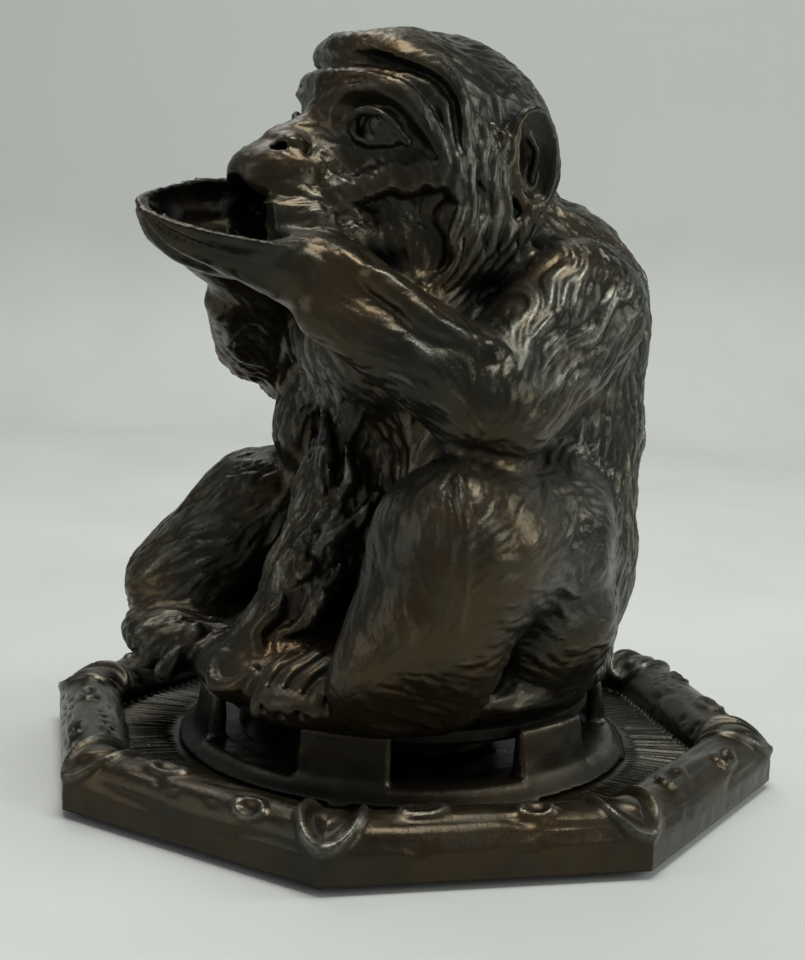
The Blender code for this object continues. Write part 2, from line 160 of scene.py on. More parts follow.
def head_clay():
    """The head, in its own frame before it is turned by HEAD_YAW."""
    c = Clay()
    c.put(ball((0, 1, 113), (20.0, 24.5, 21.5)))
    c.put(path([(-7, -9.6, 122.0), (7, -9.6, 122.0)], 11.8), 4)
    c.put(ball((0, -8, 108), (16.5, 12.5, 12)), 4)
    c.put(path([(0, -12, 108.0), (0, -21, 107.6)], (10.5, 8.4)), 4)
    c.put(ball((0, -25.5, 107.4), (10.2, 10.2, 6.9)), 3)
    c.put(ball((0, -31.0, 108.2), (7.8, 6.4, 5.0)), 3)
    c.put(path([(0, 6, 105), (0, 14, 92)], (15, 18)), 6)
    c.put(ball((0, -17, 94), (11, 12, 6)), 4)
    c.both('+', 'path', [(16.2, 0, 112), (17.8, 0.5, 103), (17.2, -0.5, 93)], (5.8, 5.2, 4.4), 4)
    # fur cap with its overhanging edge
    edge = curve([(-1, -17.8, 130.4), (4.5, -17.2, 130.6), (9.1, -15.6, 130.2), (14.1, -12.2, 128.2),
        (17.0, -8.0, 126.2), (18.9, -5.3, 122.6),
                  (20.2, -4.4, 118.0), (20.6, -4.4, 112.0)])
    c.both('+', 'path', edge, 2.0, 2.0)
    band = curve([(-1, -21.8, 127.5), (5, -21.0, 127.6), (10, -18.8, 127.3), (15.2, -14.2, 125.4),
        (18.4, -9.6, 122.9), (20.6, -6.9, 119.0),
                  (21.4, -6.4, 114.0)])
    c.both('-', 'path', band, (2.2,) * (len(band) - 6) + (1.9, 1.8, 1.7, 1.5, 1.3, 1.0), 0.9)
    roll = curve([(-1, -20.2, 124.7), (6, -19.8, 125.1), (12.2, -16.6, 124.9), (16.6, -11.0, 123.6),
        (18.5, -8.0, 120.6), (19.5, -7.2, 116.6), (20.2, -6.8, 112.5)])
    c.both('+', 'path', roll, 1.45, 1.4)
    crease = curve([(2, -22.6, 122.9), (8, -21.6, 123.6), (13.2, -18.2, 123.9), (17.2, -13.2, 122.4),
        (19.4, -9.6, 118.6), (20.4, -8.4, 113.8)])
    c.both('-', 'path', crease, 0.75, 0.8)
    brow = curve([(2.6, -19.5, 120.0), (6.0, -19.2, 121.3), (9.9, -18.7, 121.9), (13.6, -17.2, 122.4),
        (16.4, -14.7, 121.6), (18.2, -12.4, 119.2),
                  (19.2, -10.4, 115.8), (20.4, -8.6, 112.4), (21.0, -7.2, 110.6)])
    c.both('+', 'path', brow, 1.9, 1.5)
    # eye sockets
    c.both('-', 'ball', (13.6, -20.6, 117.6), (5.4, 3.4, 3.9), 1.6)
    socket = curve([(8.2, -22.6, 117.8), (10.6, -22.3, 119.4), (13.6, -20.4, 120.0), (16.4, -17.4, 119.0),
        (18.0, -14.8, 116.6), (19.3, -12.2, 113.8), (20.4, -9.8, 111.4)])
    c.both('-', 'path', socket, (2.0, 2.6, 2.8, 2.8, 2.7, 2.5, 2.3, 2.2, 2.1, 2.0, 1.9, 1.8, 1.8, 1.7, 1.6,
        1.5, 1.5, 1.4, 1.3, 1.3, 1.2, 1.2, 1.0, 0.9, 0.8)[:len(socket)], 0.7)
    c.both('+', 'ball', (13.5, -15.9, 116.2), (3.9, 3.5, 3.4), 0.6)
    lid = curve([(10.0, -20.0, 116.0), (11.4, -20.4, 118.0), (13.6, -19.6, 118.9), (15.8, -17.9, 118.3),
        (17.3, -15.7, 116.0), (18.3, -13.9, 113.8)])
    c.both('+', 'path', lid, 0.95, 0.4)
    low = curve([(10.0, -20.0, 116.0), (11.2, -20.0, 114.5), (13.2, -19.0, 113.6), (15.4, -17.1, 113.5),
        (17.2, -14.9, 114.1)])
    c.both('+', 'path', low, 0.75, 0.6)
    c.both('-', 'path', curve([(10.6, -20.6, 113.2), (13.2, -19.3, 112.0), (15.8, -17.0, 112.0)]), 0.55,
        0.8)
    axis = vec((0.53, -0.845, 0.06))
    axis /= np.linalg.norm(axis)
    u = np.cross(axis, (0, 0, 1))
    u /= np.linalg.norm(u)
    w = np.cross(u, axis)
    centre = vec((13.5, -15.9, 116.2)) + axis * 3.35
    ring = [tuple(centre + 1.62 * (math.cos(t) * u + math.sin(t) * w) - axis * 0.15) for t in np.linspace(0,
        2 * math.pi, 13)]
    c.both('-', 'path', ring, 0.34, 0.2)
    c.both('-', 'ball', tuple(centre + axis * 0.30), (0.6, 0.6, 0.6), 0.2)
    # nose
    c.put(path([(0, -16.4, 119.4), (0, -22, 116.9), (0, -27.6, 114.0)], (3.4, 2.8, 2.8)), 2.2)
    c.put(ball((0, -29.7, 112.9), (3.4, 2.7, 2.7)), 1.5)
    c.both('+', 'ball', (4.2, -28.4, 112.7), (2.6, 3.0, 2.4), 1.0)
    c.both('-', 'ball', (4.7, -31.0, 112.0), (1.5, 1.9, 1.2), 0.5)
    c.both('-', 'path', curve([(5.6, -26.8, 115.2), (7.3, -26.2, 113.0), (7.4, -27.6, 110.6)]), 0.55, 0.8)
    c.put(ball((0, -32.8, 107.6), (6.4, 5.2, 4.3)), 1.6)
    c.both('+', 'path', [(8.2, -33.4, 101.0), (9.8, -27.5, 99.8), (10.2, -21.5, 98.4)], (3.0, 4.4, 5.0),
        1.4)
    c.both('+', 'path', [(7.6, -20.5, 97.6), (11.6, -12.5, 97.2), (14.0, -7.0, 95.5)], (4.6, 4.8, 4.8), 4)
    # mouth, open and hollow
    c.cut(path([(0.5, -44, 101.8), (0.5, -36, 102.4), (0, -27, 103.6), (0, -18, 104.4)], (5.2, 4.9, 4.4,
        4.0)), 0.7)
    c.both('-', 'path', [(4.5, -36, 101.0), (7.0, -31.5, 101.6)], (2.6, 1.4), 0.8)
    c.both('+', 'path', curve([(3.5, -35.5, 106.2), (7.6, -32.2, 105.2), (10.2, -27.0, 104.0),
        (11.6, -22.5, 102.6)]), 1.5, 1.2)
    # ragged cheek edge over a deep hollow
    jaw = curve([(12.0, -24.6, 103.4), (13.2, -20.8, 103.8), (14.6, -19.0, 104.9), (16.0, -15.6, 106.4),
        (17.2, -13.2, 105.9), (18.6, -10.4, 107.2), (20.1, -8.9, 106.8), (21.2, -7.2, 107.4),
        (22.1, -5.8, 105.0)])
    c.both('+', 'path', jaw, 1.0, 0.8)
    c.both('+', 'path', [tuple(q + (-0.9, 0.7, 2.0)) for q in jaw], 2.0, 2.2)
    c.both('-', 'path', curve([(14.2, -23.6, 100.6), (15.6, -18.2, 101.4), (18.0, -12.8, 101.8),
        (20.2, -10.4, 101.0), (21.0, -10.2, 96.0)]), (1.3,) * 5 + (1.9,) * 4 + (2.3,) * 4 + (2.2,) * 4, 1.0)
    # side whiskers in heavy locks
    for k in range(7):
        y, wob = -7.4 + 2.35 * k, 1.5 * math.sin(2.1 * k)
        lock = curve([(20.6, y + 2.2, 121.0 - 1.2 * k), (21.9, y + 3.6 + 0.6 * wob, 115.0), (22.7, y + 1.2,
            109.5), (22.6, y + 3.0 - wob, 104.0),
                      (22.8, y + 0.8 + 0.5 * wob, 98.5), (22.2, y + 1.4, 93.5), (20.6, y - 2.4,
                      89.0 + 0.5 * k), (18.6, y - 5.0, 87.2 + 0.5 * k)], 4)
        n = len(lock)
        c.both('+', 'path', lock, [0.3 + 0.95 * math.sin(math.pi * (i + 1) / (n + 1)) for i in range(n)],
            0.9)
    # ears
    c.both('+', 'ball', (20.6, 9.2, 111.8), (2.3, 5.2, 9.2), 1.0)
    c.both('-', 'ball', (23.4, 9.2, 111.8), (2.9, 3.5, 7.0), 0.6)
    rim = [(22.3 - 0.5 * math.cos(t), 9.2 + 4.6 * math.sin(t),
        111.8 + 8.6 * math.cos(t)) for t in np.linspace(0, 2 * math.pi, 17)]
    c.both('+', 'path', rim, 0.95, 0.7)
    c.both('+', 'path', curve([(21.4, 7.8, 117.0), (21.7, 10.2, 113.5), (21.4, 9.6, 108.5)]), 0.6, 0.8)
    return c


def body_clay():
    """Trunk, arms, legs, feet and the curls on the belly."""
    c = Clay()
    for a, r in (((0, 21, 84), (31, 24, 23)), ((0, 16, 62), (33, 29, 38)), ((0, 13.5, 40), (37, 28.5, 34)),
            ((0, -8, 82), (23, 14, 17)), ((0, -1, 19), (38, 41, 9))):
        c.put(ball(a, r), 6)
    for s in (1, -1):
        m = lambda x, y, z: (x * s, y, z)
        c.put(path([m(28, 14, 86), m(35, -8, 71) if s > 0 else m(32, -5, 72.8)],
            (12.5, 10.5 if s > 0 else 9.6)), 4)
        c.put(path([m(34 if s > 0 else 31, -9 if s > 0 else -8, 71 if s > 0 else 74.0), m(11, -28, 91)],
            (10.0 if s > 0 else 8.6, 6.9)), 3)
        c.put(path([m(31, -17, 76), m(16, -31, 85)], (7.5, 4.5)), 3)
        c.put(path(curve([m(18, -29, 94), m(25.5, -24.5, 90), m(33, -19.5, 83.5), m(38.5, -12.5, 79.5)]),
            (1.7,) * 3 + (2.4,) * 10), 0.8)
        c.put(path([m(15, -26, 89.5), m(9.5, -34, 92.4), m(6, -42, 94.6)], (6.9, 6.1, 4.4)), 2.5)
    c.put(path([(28, 4, 46), (36, -15, 47)], (17, 14.5)), 4)
    c.put(path([(36, -15, 47), (35, -24, 25)], (14.5, 13.5)), 4)
    c.put(path([(-28, 2, 43), (-35.5, -11.5, 40.8)], (15.4, 12.4)), 4)
    c.put(path([(-36, -13, 40.8), (-38, -27, 25.5)], (12.3, 13.2)), 4)
    c.put(ball((33, 8, 31), (10, 13, 12)), 4)
    c.put(ball((20, -33, 19), (10, 10, 5)), 4)
    c.put(ball((-26, -37, 20), (12, 10, 6)), 4)
    c.put(path([(-12, -2, 72), (-22, -6, 60)], (12, 10)), 4)
    belly = [(-2, -4, 70), (-2, -12, 56), (-1, -19, 40), (0, -26, 27), (0, -31, 19)]
    c.put(path(belly, (10, 8.5, 8, 8, 8)), 4)
    c.cut(path([(9, -17, 60), (14, -21, 52), (16, -25, 40)], (6.5, 5.5, 3.0)), 3)
    c.cut(path([(-11, -16, 58), (-15, -20, 48), (-15, -26, 36)], (6.5, 6.5, 5.0)), 3)
    toes = (((14, -31.5, 25.4), (14.5, -37.5, 22.6), (17, -42.4, 17.2)), ((18.6, -31.5, 26),
        (18.6, -37.2, 22.6), (21, -41.2, 16.6)),
            ((22.8, -31.5, 26), (22.4, -36.6, 22.4), (24.4, -39.8, 16.4)), ((27, -31.5, 25.6),
            (26.4, -35.8, 21.6), (28, -37.8, 16.4)),
            ((31, -30.5, 25.2), (31.2, -34.2, 21.2), (32.4, -34.4, 16.4)))
    for t in toes:
        pts = curve(t, 4)
        c.put(path(pts, [1.9, 2.0, 2.1, 2.15, 2.15, 2.1, 2.0, 1.8, 1.5]), 0.25)
    for a, b in zip(toes, toes[1:]):
        mid = [tuple((np.array(u) + np.array(w)) / 2 + (0.1, -0.9, 0.9)) for u, w in zip(a, b)]
        c.cut(path(curve(mid, 4), 0.55), 0.5)
    for t in (((-16, -37, 22.5), (-15, -41, 19.5), (-14, -44, 17)), ((-20, -38, 23), (-20, -42.5, 19.5),
            (-20, -45.5, 17)), ((-24.5, -38.5, 23), (-25.5, -43, 19.5), (-26, -45.5, 17))):
        c.put(path(curve(t, 3), [2.5, 2.5, 2.5, 2.4, 2.3, 2.1, 1.8]), 0.4)
    c.put(path(curve([(-1.4, -38.5, 22.8), (-1.0, -41.0, 20.6), (3.2, -42.6, 18.8), (7.6, -41.2, 19.6),
        (8.6, -38.5, 22.0)]), 1.5), 0.7)
    locks = (((-6, -14, 69), (-2, -17.7, 64), (2, -20.6, 56), (3, -20.4, 50), (6.5, -18.2, 46)),
        ((4, -17, 60), (5.6, -17.4, 54), (1.0, -20.6, 49), (4.2, -24.2, 44)),
             ((9, -13.5, 52), (7, -18, 45.5), (2.5, -24, 42), (5.4, -26.4, 38.5), (3.4, -28.8, 35.4)),
             ((-1, -20, 52), (-3.4, -21.6, 46), (0.6, -25.6, 39.6), (-1.6, -28, 35)),
             ((8.4, -20.5, 39), (7.4, -23.6, 34.4), (9.0, -27.5, 30.2), (6.0, -31.5, 27.5)),
             ((1.6, -28.6, 34), (4.6, -31.6, 31.5), (3.6, -34.8, 27.2), (6.6, -35, 23.6)),
             ((-4, -23, 44), (-7.2, -24, 38.5), (-3.8, -28, 33), (-6.0, -31.0, 28)), ((-2, -30.5, 31),
             (-4.6, -33.2, 27), (-1.4, -36.6, 24.2)),
             ((-9, -14, 62), (-6.4, -17.6, 56), (-8.6, -19.0, 50), (-5.4, -22, 45)))
    for t in locks:
        pts = curve(t, 5)
        n = len(pts)
        c.put(path(pts, [0.5 + 1.35 * math.sin(math.pi * (i + 1) / (n + 1)) ** 0.8 for i in range(n)]), 0.4)
    c.put(path(curve([(42.5, -21.0, 60.5), (46.6, -22.6, 55), (48.4, -23.4, 48), (49.0, -24.0, 40),
        (47.6, -24.6, 33)]), 0.75), 0.6)
    return c


def fingered(centre, radii, humps, sign):
    """A long bowl whose wall swells into fingers running towards its tip."""
    f, c, reach = ball(centre, radii)
    def g(p):
        around = np.arctan2((p[:, 0] - c[0]) / radii[0], -(p[:, 2] - c[2]) / radii[2])
        fade = np.clip((9.0 - p[:, 1]) / 9.0, 0, 1) * np.clip((p[:, 1] + 21.0) / 5.0, 0.25, 1)
        return f(p) - sign * humps * fade * (np.abs(np.sin(6.0 * around)) ** 0.6 - 0.5)
    return g, c, reach + 1.0


def hand_parts():
    """The bowl of the cupped hands, in its own frame."""
    c = Clay()
    c.put(fingered((0, 1.0, 3.4), (14.1, 20.2, 11.7), 1.8, 1), 0.4)
    c.keep((lambda p: p[:, 2] - 1.7 - 0.0032 * (p[:, 1] + 5) ** 2 - 0.17 * np.maximum(-p[:, 0], 0), None,
        0), 0.5)
    c.cut(fingered((0, 1.5, 3.6), (12.6, 18.4, 9.6), 1.3, 1), 0.3)
    for s in (1, -1):      # line where the thumb meets the wrist
        c.cut(path(curve([(s * 14.4, 2.5, 0.0), (s * 14.9, 7.0, -3.4), (s * 15.5, 10.5, -9.0)]), 0.8), 0.6)
    return c


HEAD, BODY, HAND = head_clay(), body_clay(), hand_parts()


def to_head(p):
    c, s = math.cos(-HEAD_YAW), math.sin(-HEAD_YAW)
    q = p.copy()
    q[:, 0] = c * p[:, 0] - s * p[:, 1]
    q[:, 1] = s * p[:, 0] + c * p[:, 1]
    return q


def to_hand(p):
    c, s = math.cos(HAND_TILT), math.sin(HAND_TILT)
    q = p - vec(BOWL_AT)
    # turned back by HAND_TILT about Y
    return np.stack([c * q[:, 0] - s * q[:, 2], q[:, 1], s * q[:, 0] + c * q[:, 2]], 1)


def slim(q):
    """The bowl narrows towards its tip."""
    q = q.copy()
    q[:, 0] *= 1 + 0.022 * np.maximum(-q[:, 1] - 2.0, 0)
    return q


def smin(a, b, k):
    h = np.clip(0.5 + 0.5 * (b - a) / k, 0, 1)
    return b + (a - b) * h - k * h * (1 - h)


def figure_field(p, centre=None, half=None):
    """Distance to the whole skin, with mouth and bowl open."""
    ch = None if centre is None else to_head(centre[None])[0]
    cb = None if centre is None else to_hand(centre[None])[0]
    h = HEAD.field(to_head(p), ch, half)
    b = BODY.field(p, centre, half)
    d = smin(h, b, 2.5)
    g = HAND.field(slim(to_hand(p)), cb, half)
    d = smin(d, g, 1.5)
    # mouth and bowl stay open through everything
    q = to_head(p)
    m = path([(0.5, -46, 101.9), (0.5, -36, 102.4), (0, -20, 104)], (5.0, 4.6, 4.2))[0](q)
    d = np.maximum(d, -m)
    hb = ball((0, 1.5, 3.6), (12.4, 18.2, 9.4))[0](slim(to_hand(p)))
    hb = np.maximum(np.maximum(hb, p[:, 2] - 102.6), p[:, 1] + 35.5)
    d = np.maximum(d, -hb)
    # rounded foot, opening out over the collar
    r = np.hypot(p[:, 0] + 4.0, p[:, 1] + 4.5)
    foot = (r - 39.0 - 1.05 * np.sqrt(np.maximum(p[:, 2] - FOOT_Z, 0) * 14)) * 0.6
    d = -smin(-d, -foot, 3.0)
    return np.maximum(d, FOOT_Z - p[:, 2])


def shell(field, lo, hi, h, block=16):
    """Points and quads of the zero surface of a field; only blocks near it are sampled finely."""
    lo = np.asarray(lo, float)
    n = np.ceil((np.asarray(hi) - lo) / h / block).astype(int)
    size = block * h
    half = size * 0.866
    ax = [lo[i] + (np.arange(n[i]) + 0.5) * size for i in range(3)]
    C = np.stack(np.meshgrid(*ax, indexing='ij'), -1).reshape(-1, 3).astype(F)
    d = field(C)
    near = (np.abs(d) < half * 1.3 + 2.5).reshape(n)
    arr = np.full(n * block, 3 * h, F)
    inside = (d < 0).reshape(n)
    arr[np.repeat(np.repeat(np.repeat(inside, block, 0), block, 1), block, 2)] = -3 * h
    g = (np.stack(np.meshgrid(*[np.arange(block)] * 3, indexing='ij'), -1).reshape(-1, 3) * h).astype(F)
    for i, j, k in np.argwhere(near):
        o = lo + np.array([i, j, k]) * size
        v = field((g + o.astype(F)), (o + size / 2).astype(F), half + 0.5)
        arr[i * block:(i + 1) * block, j * block:(j + 1) * block,
            k * block:(k + 1) * block] = v.reshape(block, block, block)
    grid = openvdb.FloatGrid(3 * h)
    grid.copyFromArray(np.clip(arr, -3 * h, 3 * h))
    grid.transform = openvdb.createLinearTransform(voxelSize=h)
    pts, quads = grid.convertToQuads(isovalue=0.0)
    return pts + lo, quads


# ------------------------------------------------------------------ strands and meshes
def lattice(q, seed):
    """Value noise between -1 and 1 at points q, one cell per unit."""
    i = np.floor(q).astype(np.int64)
    t = (q - i).astype(F)
    t = t * t * (3 - 2 * t)
    out = np.zeros(len(q), F)
    for dx in (0, 1):
        for dy in (0, 1):
            for dz in (0, 1):
                h = ((i[:, 0] + dx) * 73856093) ^ ((i[:, 1] + dy) * 19349663) ^ ((i[:,
                    2] + dz) * 83492791) ^ (seed * 2654435)
                h = (h ^ (h >> 13)) * 1274126177
                h = ((h ^ (h >> 16)) & 0xFFFF).astype(F) / 32767.5 - 1
                w = ((t[:, 0] if dx else 1 - t[:, 0]) * (t[:, 1] if dy else 1 - t[:, 1]) * (t[:,
                    2] if dz else 1 - t[:, 2]))
                out += h * w
    return out


# how the fur lies: place, direction, reach
COMB = (((0, 42, 60), (0, 0.05, -1), 26), ((0, 30, 95), (0, 0.6, -0.8), 14), ((28, 20, 88),
    (0.5, 0.0, -0.9), 11), ((-28, 20, 88), (-0.5, 0.0, -0.9), 11),
        ((36, 0, 78), (0.3, -0.75, -0.55), 9), ((-36, 0, 78), (-0.3, -0.75, -0.55), 9), ((26, -22, 80),
        (0.62, 0.5, -0.6), 9), ((-26, -22, 80), (-0.62, 0.5, -0.6), 9),
        ((44, -18, 45), (0.25, -0.75, -0.55), 12), ((-44, -18, 45), (-0.4, -0.4, -0.8), 12),
        ((42, 6, 48), (0.1, -0.7, 0.5), 12), ((-42, 6, 48), (-0.1, -0.7, 0.5), 12),
        ((40, -10, 26), (0.4, -0.9, -0.15), 12), ((-42, -12, 26), (-0.4, -0.9, -0.3), 12), ((0, -22, 45),
        (0, -0.3, -1), 12), ((0, 2, 135), (0, 1, 0), 12),
        ((20, 0, 124), (0.3, 0.75, -0.6), 9), ((-20, 0, 124), (-0.3, 0.75, -0.6), 9), ((22, -2, 105),
        (0, 0.1, -1), 9), ((-22, -2, 105), (0, 0.1, -1), 9),
        ((8, -30, 107), (0.7, 0.7, -0.35), 6), ((-8, -30, 107), (-0.7, 0.7, -0.35), 6), ((0, 24, 115),
        (0, 0.5, -0.9), 10))
# how strongly it is carved: place, reach, locks, strands
CARVE = (((0, -20, 117), 7, 0.0, 0.22), ((12, -17, 117), 5, 0.0, 0.12), ((-12, -17, 117), 5, 0.0, 0.12),
    ((16, -13, 110), 5, 0.0, 0.5), ((-16, -13, 110), 5, 0.0, 0.5), ((13, -13, 99), 5, 0.15, 1.0),
    ((-13, -13, 99), 5, 0.15, 1.0),
         ((8, -25, 107), 6.5, 0.05, 1.7), ((-8, -25, 107), 6.5, 0.05, 1.7), ((0, -34, 109), 6, 0.0, 0.12),
         ((21, 9, 112), 7, 0.0, 0.15), ((-21, 9, 112), 7, 0.0, 0.15),
         ((0, -40, 97), 15, 0.0, 0.25), ((0, -54, 99), 10, 0.0, 0.25), ((30, -22, 86), 7, 0.12, 0.45),
         ((-30, -22, 86), 7, 0.2, 0.5), ((14, -33, 90), 7, 0.06, 0.3), ((-14, -33, 90), 7, 0.06, 0.3),
         ((0, 0, 134), 13, 0.12, 0.95), ((0, -12, 128), 9, 0.05, 0.5), ((0, 40, 70), 26, 1.0, 1.0),
         ((30, 20, 84), 12, 0.45, 1.0), ((-30, 20, 84), 12, 0.45, 1.0),
         ((44, -16, 46), 15, 0.10, 0.42), ((-44, -18, 44), 15, 0.35, 0.8), ((44, 8, 40), 14, 0.28, 0.62),
         ((-44, 8, 40), 14, 0.5, 0.8), ((0, -24, 44), 10, 0.9, 0.8),
         ((-20, -20, 78), 12, 0.9, 1.0), ((20, -22, 74), 9, 0.35, 0.9), ((20, -38, 20), 10, 0.05, 0.3),
         ((42, -12, 24), 12, 0.3, 0.6))


def blend_table(p, table, place, reach):
    w = np.stack([np.exp(-np.sum((p - vec(row[place])) ** 2,
        1) / (2.0 * row[reach] ** 2)) for row in table], 1) + 1e-9
    return w / w.sum(1, keepdims=True)


def strands(p, n):
    """Height of the carved fur at skin points p with normals n: locks and fine strands, -1..1 each."""
    w = blend_table(p, COMB, 0, 2)
    f = w @ np.array([row[1] for row in COMB], F)
    wave = 0.75 * lattice(p / 9.0, 3) + 0.45 * lattice(p / 4.0, 4)
    f = f - n * np.sum(f * n, 1, keepdims=True)
    f /= np.linalg.norm(f, axis=1, keepdims=True) + 1e-6
    side = np.cross(n, f)
    f = f * np.cos(wave)[:, None] + side * np.sin(wave)[:, None]
    out = []
    for size, length, steps, seed in ((2.1, 6.5, 9, 11), (0.95, 3.6, 9, 12)):
        total = np.zeros(len(p), F)
        for t in np.linspace(-length, length, steps):
            total += lattice((p + f * F(t)) / F(size), seed) * F(math.cos(0.5 * math.pi * t / length * 0.9))
        total /= total.std() + 1e-6
        out.append(np.clip(np.abs(total), 0, 2.2) ** 0.75)
    return out[0] - 0.75, out[1] - 0.75


def whisker_lines(p):
    """Wavy side whiskers, sweeping down from the temple and forward to the chin: height and strength."""
    h = to_head(p)
    x, y, z = np.abs(h[:, 0]), h[:, 1], h[:, 2]
    u = y + 0.045 * np.maximum(101 - z, 0) ** 2 + 0.9 * np.sin(z / 2.9
        + 0.25 * y) + 1.3 * lattice(h / 6.0, 61)
    lines = np.abs(np.sin(np.pi * u / 2.5)) ** 0.7 + 0.35 * np.abs(np.sin(np.pi * u / 1.1 + 0.4)) - 0.75
    keep = np.clip((x - 13.0) / 3.0, 0, 1) * np.clip((123 - z) / 3, 0, 1) * np.clip((z - 85) / 3, 0, 1)
    ear = np.clip((np.hypot((y - 9.2) / 5.6, (z - 111.8) / 9.6) - 1.0) * 4, 0, 1)
    face = np.clip((y + 9.0 + 0.25 * np.maximum(z - 106, 0)) / 2.0, 0, 1) * np.clip((11.0 - y) / 3.0, 0, 1)
    return lines, keep * ear * face


def vertex_normals(v, q):
    n = np.cross(v[q[:, 2]] - v[q[:, 0]], v[q[:, 3]] - v[q[:, 1]])
    out = np.zeros_like(v)
    for k in range(4):
        np.add.at(out, q[:, k], n)
    return out / (np.linalg.norm(out, axis=1, keepdims=True) + 1e-9)


def make_mesh(name, v, q, attrs=None, mat=None):
    """A smooth mesh from points in mm above the tray's underside."""
    me = bpy.data.meshes.new(name)
    co = v.astype(np.float64).copy()
    co[:, 2] += LIFT
    me.vertices.add(len(v))
    me.vertices.foreach_set("co", (co / 1000.0).astype(F).ravel())
    me.loops.add(len(q) * 4)
    me.loops.foreach_set("vertex_index", q.astype(np.int32).ravel())
    me.polygons.add(len(q))
    me.polygons.foreach_set("loop_start", np.arange(0, len(q) * 4, 4, dtype=np.int32))
    me.polygons.foreach_set("loop_total", np.full(len(q), 4, np.int32))
    me.update(calc_edges=True)
    me.validate()
    me.polygons.foreach_set("use_smooth", np.ones(len(me.polygons), bool))
    for key, values in (attrs or {}).items():
        a = me.attributes.new(key, "FLOAT", "POINT")
        a.data.foreach_set("value", values.astype(F))
    if mat is not None:
        me.materials.append(mat)
    obj = bpy.data.objects.new(name, me)
    bpy.context.scene.collection.objects.link(obj)
    return obj


def sub_mesh(v, q, attrs, pick):
    """The faces picked from a mesh, with only the points they use."""
    q = q[pick]
    used, q2 = np.unique(q, return_inverse=True)
    return v[used], q2.reshape(q.shape), {k: a[used] for k, a in attrs.items()}


# ------------------------------------------------------------------ the figure
def cavity_field(p, centre=None, half=None):
    d = CAVITY.field(p, centre, half)
    d = np.maximum(d, 19.0 - p[:, 2])
    bore = np.maximum(np.hypot(p[:, 0], p[:, 1]) - BORE, np.abs(p[:, 2] - 16.0) - 9.0)
    return np.minimum(d, bore)


def cavity_clay():
    c = Clay()
    c.put(ball((0, 21, 84), (28.2, 21.2, 20.2)), 5)
    c.put(ball((0, 16, 62), (30.2, 26.2, 35.2)), 5)
    c.put(ball((0, 13, 38), (33, 25, 24)), 5)
    c.put(path([(0, 6, 105), (0, 14, 92)], (12, 15)), 5)
    c.put(ball((-0.5, 2, 113), (16.5, 21, 18)), 5)
    c.put(path([(0, 0, 106), (-2, -20, 104.4), (-3, -34, 103.0)], (9, 4.2, 4.0)), 2)
    return c


CAVITY = cavity_clay()


def opening_field(p):
    """The two ways into the hollow: the mouth and the bore in the floor."""
    mouth = path([(0.5, -46, 101.9), (0.5, -36, 102.4), (0, -18, 104)], (5.0, 4.6, 4.2))[0](to_head(p))
    bore = np.maximum(np.hypot(p[:, 0], p[:, 1]) - BORE, p[:, 2] - 21.5)
    return np.minimum(mouth, bore)


def skin_field(p, centre=None, half=None):
    return np.maximum(figure_field(p, centre, half), -opening_field(p))


def openness(v, n):
    """How open the space above each point is, 0 in deep hollows to 1 on free surfaces."""
    h = 2.0
    lo = np.array([-66.0, -70.0, 8.0])
    num = np.array([67, 66, 68])
    ax = [lo[i] + np.arange(num[i]) * h for i in range(3)]
    C = np.stack(np.meshgrid(*ax, indexing="ij"), -1).reshape(-1, 3).astype(F)
    g = np.empty(len(C), F)
    for s in range(0, len(C), 60000):
        g[s:s + 60000] = figure_field(C[s:s + 60000])
    g = g.reshape(num)
    total = np.zeros(len(v), F)
    for r in (3.0, 6.0, 10.0):
        t = (v + n * r - lo) / h
        t = np.clip(t, 0, num - 1.001)
        i = t.astype(int)
        f = (t - i).astype(F)
        val = np.zeros(len(v), F)
        for dx in (0, 1):
            for dy in (0, 1):
                for dz in (0, 1):
                    w = ((f[:, 0] if dx else 1 - f[:, 0]) * (f[:, 1] if dy else 1 - f[:, 1]) * (f[:,
                        2] if dz else 1 - f[:, 2]))
                    val += w * g[i[:, 0] + dx, i[:, 1] + dy, i[:, 2] + dz]
        total += np.clip(val / r, 0, 1)
    return total / 3


